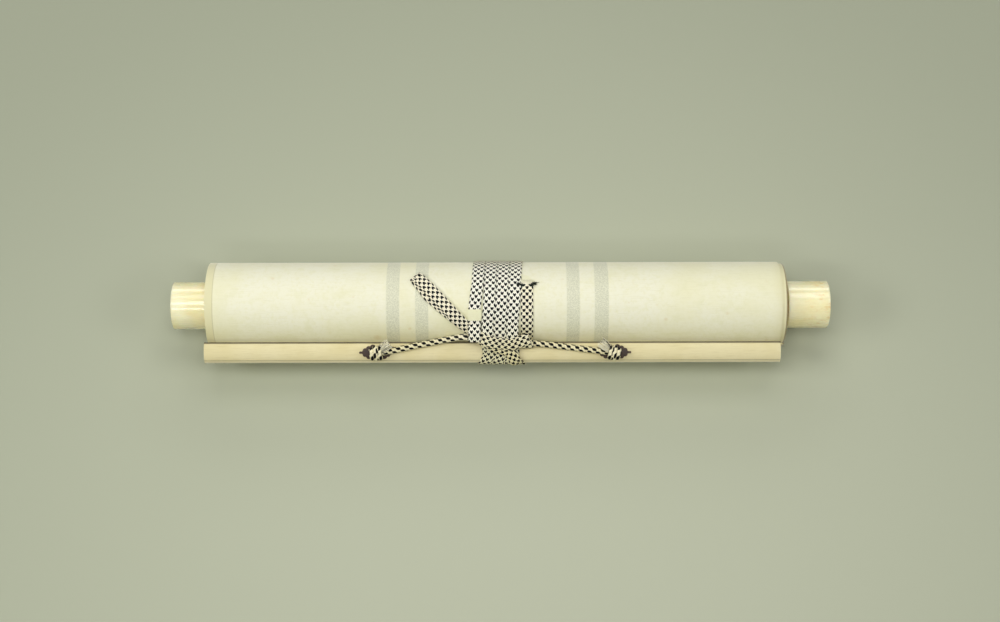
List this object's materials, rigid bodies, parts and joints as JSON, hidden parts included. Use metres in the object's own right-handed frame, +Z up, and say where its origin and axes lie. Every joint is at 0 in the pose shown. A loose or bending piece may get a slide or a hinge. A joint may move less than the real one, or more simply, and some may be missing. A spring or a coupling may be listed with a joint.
{
  "type": "rolled hanging scroll",
  "caption": "Hanging scroll, rolled up and tied: a cream paper roll on a rod with round end knobs, a stave with eyelets and a cord along its front, and a flat braided strap wound round it.",
  "frame": {"origin": "on the table, under the middle of the object's bounding box", "axes": "+X along the roll towards the right-hand knob, +Z up, the stave on the -Y side"},
  "size_m": [0.459, 0.0766, 0.0629],
  "materials": {
    "rod_wood": "plain unfinished softwood",
    "knob_resin": "polished ivory-coloured resin with yellow-brown streaks",
    "roll_paper": "matt cream paper with fine fibres and pale silver-grey bands",
    "stave_wood": "plain unfinished softwood",
    "strap_braid": "flat braid of off-white and black threads",
    "band_paper": "smooth cream paper",
    "cord_braid": "round braid of off-white and black threads",
    "dark_bronze": "dark patinated bronze"
  },
  "bodies": {
    "root": {"roller_rod": "rod_wood", "left_knob": "knob_resin", "right_knob": "knob_resin", "paper_roll": "roll_paper", "stave_core": "stave_wood", "winding_strap": "strap_braid", "paper_band": "band_paper", "hanging_cord": "cord_braid", "left_eyelet": "dark_bronze", "left_eyelet_plate": "dark_bronze", "left_cord_knot": "cord_braid", "right_eyelet": "dark_bronze", "right_eyelet_plate": "dark_bronze", "right_cord_knot": "cord_braid"}
  },
  "joints": []
}
